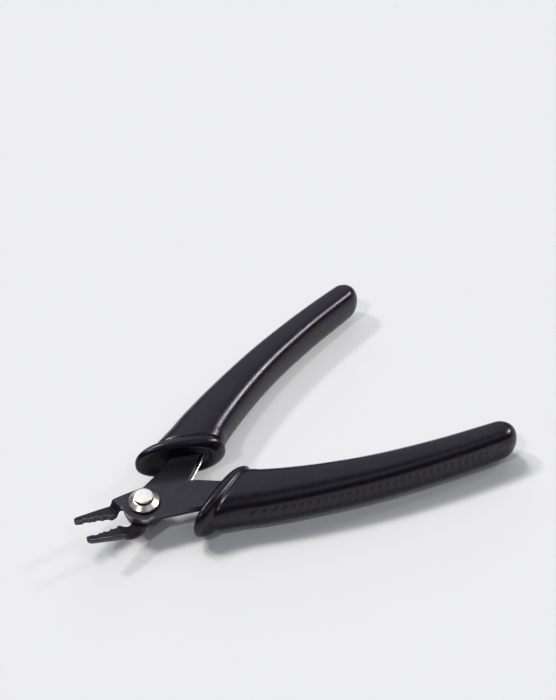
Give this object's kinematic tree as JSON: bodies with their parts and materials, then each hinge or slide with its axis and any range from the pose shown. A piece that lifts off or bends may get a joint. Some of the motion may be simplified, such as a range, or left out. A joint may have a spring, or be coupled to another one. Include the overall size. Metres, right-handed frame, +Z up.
{
  "type": "crimping pliers",
  "caption": "Compact hand pliers with notched, raised crimping jaws on lap-jointed flat levers, a button rivet with conical collars, a wire return spring and curved flared grips.",
  "frame": {"origin": "centre of the overall box in plan, on the surface the tool lies on, jaws open", "axes": "+X along the tool from the jaws towards the grips, +Y towards the grip on the lower lever, +Z up, along the pivot rivet"},
  "size_m": [0.1206, 0.0836, 0.0139],
  "materials": {
    "upper_blade_black_oxide": "black oxide on steel, satin",
    "lower_blade_black_oxide": "black oxide on steel, satin",
    "near_grip_black_vinyl": "moulded vinyl, satin",
    "far_grip_black_vinyl": "moulded vinyl, satin",
    "rivet_nickel": "nickel, turned",
    "upper_collar_nickel": "nickel, polished",
    "lower_collar_nickel": "nickel, polished",
    "spring_bright_steel": "bright drawn wire"
  },
  "bodies": {
    "lower_half": {"lower_blade": "lower_blade_black_oxide", "far_grip": "far_grip_black_vinyl", "pivot_rivet": "rivet_nickel", "upper_collar": "upper_collar_nickel", "lower_collar": "lower_collar_nickel", "return_spring": "spring_bright_steel"},
    "upper_half": {"upper_blade": "upper_blade_black_oxide", "near_grip": "near_grip_black_vinyl"}
  },
  "joints": [
    {"name": "pivot_hinge", "type": "hinge", "parent": "lower_half", "child": "upper_half", "pos_m": [-0.04121, 0, 0.00695], "axis": [0, 0, 1], "range_deg": [0, 17.6], "stiffness_Nm_per_rad": 0.9, "springref_deg": -8.59, "deforming": ["return_spring"]}
  ]
}
